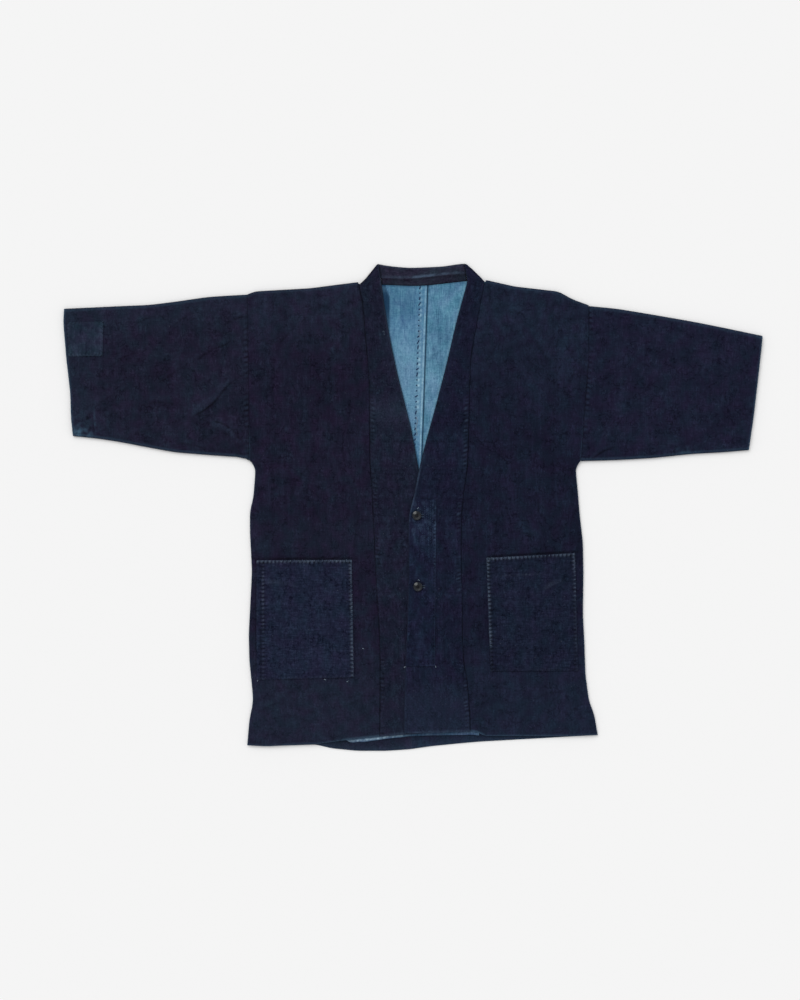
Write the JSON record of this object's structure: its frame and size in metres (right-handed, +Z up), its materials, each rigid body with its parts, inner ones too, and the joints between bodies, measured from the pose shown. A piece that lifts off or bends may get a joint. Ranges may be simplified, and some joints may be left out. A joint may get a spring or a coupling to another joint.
{
  "type": "noragi work jacket",
  "caption": "Indigo cotton noragi work jacket lying flat, front upwards: open neck with a doubled collar band, wide sleeves, patch pockets and small buttons.",
  "frame": {"origin": "middle of the jacket's box, on the surface that it lies on", "axes": "+X towards the wearer's left cuff, +Y from the hem to the collar, +Z up out of the front"},
  "size_m": [1.1522, 0.8036, 0.0142],
  "materials": {
    "indigo": "thick hand-woven cotton dyed dark indigo, matt, slubby",
    "collar_inside": "the same cotton, worn greyer inside the neck",
    "pocket_indigo": "the same cotton with worn stitched edges",
    "mend": "thinner faded indigo cotton of the patches",
    "lining_blue": "pale blue cotton, faded",
    "lining_teal": "pale blue cotton, faded greener",
    "hem_blue": "the fronts' lining at the hem, worn",
    "button": "dark brown-grey horn or plastic, polished by wear"
  },
  "bodies": {
    "root": {"body_right": "indigo", "body_left": "indigo", "sleeve_right": "indigo", "sleeve_left": "indigo", "collar_right": "indigo", "collar_left": "indigo", "collar_back": "collar_inside", "lining_right": "lining_blue", "lining_left": "lining_teal", "hem_rim": "hem_blue", "pocket_right": "pocket_indigo", "pocket_left": "pocket_indigo", "cuff_patch": "mend", "button_stand": "mend", "button_upper": "button", "button_lower": "button"}
  },
  "joints": []
}
